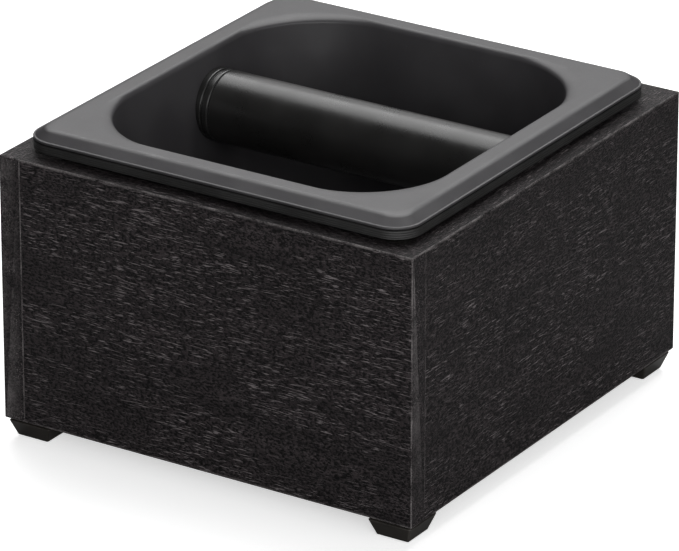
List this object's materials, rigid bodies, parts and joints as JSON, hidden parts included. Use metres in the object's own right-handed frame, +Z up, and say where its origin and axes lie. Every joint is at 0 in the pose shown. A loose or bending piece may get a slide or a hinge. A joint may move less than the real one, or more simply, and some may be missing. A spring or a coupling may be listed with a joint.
{
  "type": "espresso knock box",
  "caption": "Square black wooden espresso knock box on short tapered feet, with a lift-out moulded pan and a rubber-covered knock bar across it.",
  "frame": {"origin": "on the standing surface, under the middle of the case's footprint", "axes": "+Z up, +Y towards the back (the bar is nearer the back), +X to the right seen from the front"},
  "size_m": [0.176, 0.186, 0.1214],
  "materials": {
    "stained_wood": "black-brown stained open-pored wood, satin",
    "base_board": "black stained board, matt",
    "dowel_wood": "fluted beech, unfinished",
    "foot_plastic": "dark brown-black satin plastic",
    "zinc_screw": "zinc-plated wood screw",
    "pad_rubber": "soft black rubber",
    "pan_plastic": "black moulded plastic, fine satin texture",
    "band_rubber": "ribbed black rubber",
    "bar_steel": "drawn steel bar",
    "sleeve_rubber": "black rubber, smooth satin",
    "cap_plastic": "black plastic, satin",
    "seal_rubber": "black rubber",
    "stainless": "stainless steel"
  },
  "bodies": {
    "case": {"front_panel": "stained_wood", "back_panel": "stained_wood", "left_panel": "stained_wood", "right_panel": "stained_wood", "base_panel": "base_board", "corner_blocks": "base_board", "panel_dowels": "dowel_wood", "foot_front_left": "foot_plastic", "foot_front_right": "foot_plastic", "foot_back_left": "foot_plastic", "foot_back_right": "foot_plastic", "foot_screws": "zinc_screw", "foot_pads": "pad_rubber"},
    "insert": {"pan": "pan_plastic", "rim_band": "band_rubber", "bar_core": "bar_steel", "bar_sleeve": "sleeve_rubber", "bar_cap_left": "cap_plastic", "bar_cap_right": "cap_plastic", "bar_seal_left": "seal_rubber", "bar_seal_right": "seal_rubber", "bar_washer_left": "stainless", "bar_washer_right": "stainless", "bar_screw_left": "stainless", "bar_screw_right": "stainless"}
  },
  "joints": [
    {"name": "insert_lift", "type": "slide", "parent": "case", "child": "insert", "axis": [0, 0, 1], "range_m": [0, 0.12]}
  ]
}
